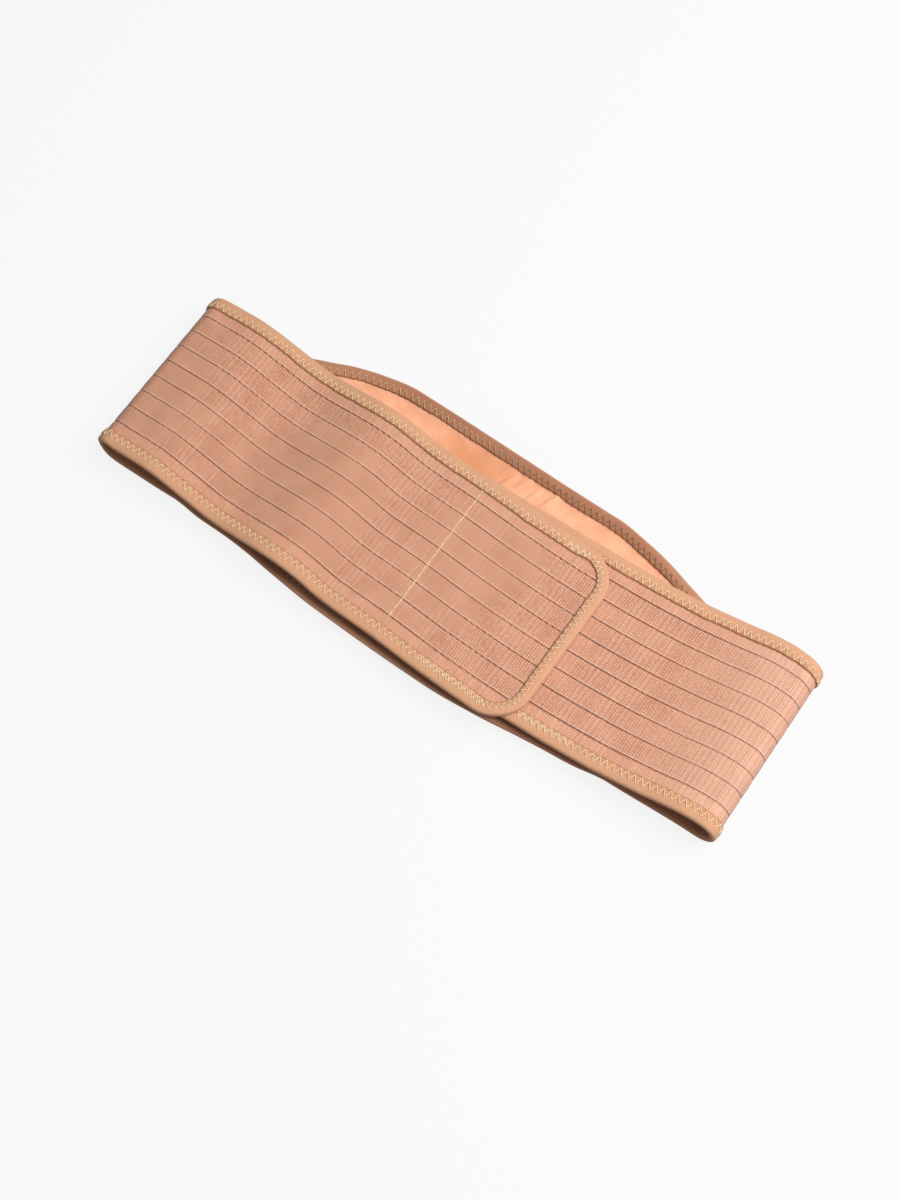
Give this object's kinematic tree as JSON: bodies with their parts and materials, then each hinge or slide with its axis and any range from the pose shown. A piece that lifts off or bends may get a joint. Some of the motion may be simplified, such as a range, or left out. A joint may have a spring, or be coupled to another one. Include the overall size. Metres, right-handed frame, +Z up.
{
  "type": "maternity support belt",
  "caption": "Wide elastic belly band closed into a loop and lying flat, with ribbed front panels, a taller lined back panel and taped edges.",
  "frame": {"origin": "on the table, under the middle of the folded belt's outline", "axes": "+X along the folded belt, from its left fold to its right fold; +Y up the body as worn, across the folded belt; +Z up from the table"},
  "size_m": [0.4782, 0.1722, 0.0251],
  "materials": {
    "ribbed_elastic": "peach woven elastic with eight narrow sunken ribs",
    "back_shell": "plain peach cloth",
    "brushed_lining": "soft brushed peach lining",
    "velvet_tape": "tan velvety folded tape",
    "thread": "cream sewing thread",
    "hook_tape": "plain hook tape in the belt's colour"
  },
  "bodies": {
    "root": {"left_elastic_panel": "ribbed_elastic", "right_elastic_panel": "ribbed_elastic", "back_panel": "back_shell", "back_lining": "brushed_lining", "left_top_binding": "velvet_tape", "left_bottom_binding": "velvet_tape", "right_top_binding": "velvet_tape", "right_bottom_binding": "velvet_tape", "back_top_binding": "velvet_tape", "back_bottom_binding": "velvet_tape", "flap_end_binding": "velvet_tape", "inner_end_binding": "velvet_tape", "hook_patch": "hook_tape"}
  },
  "joints": []
}
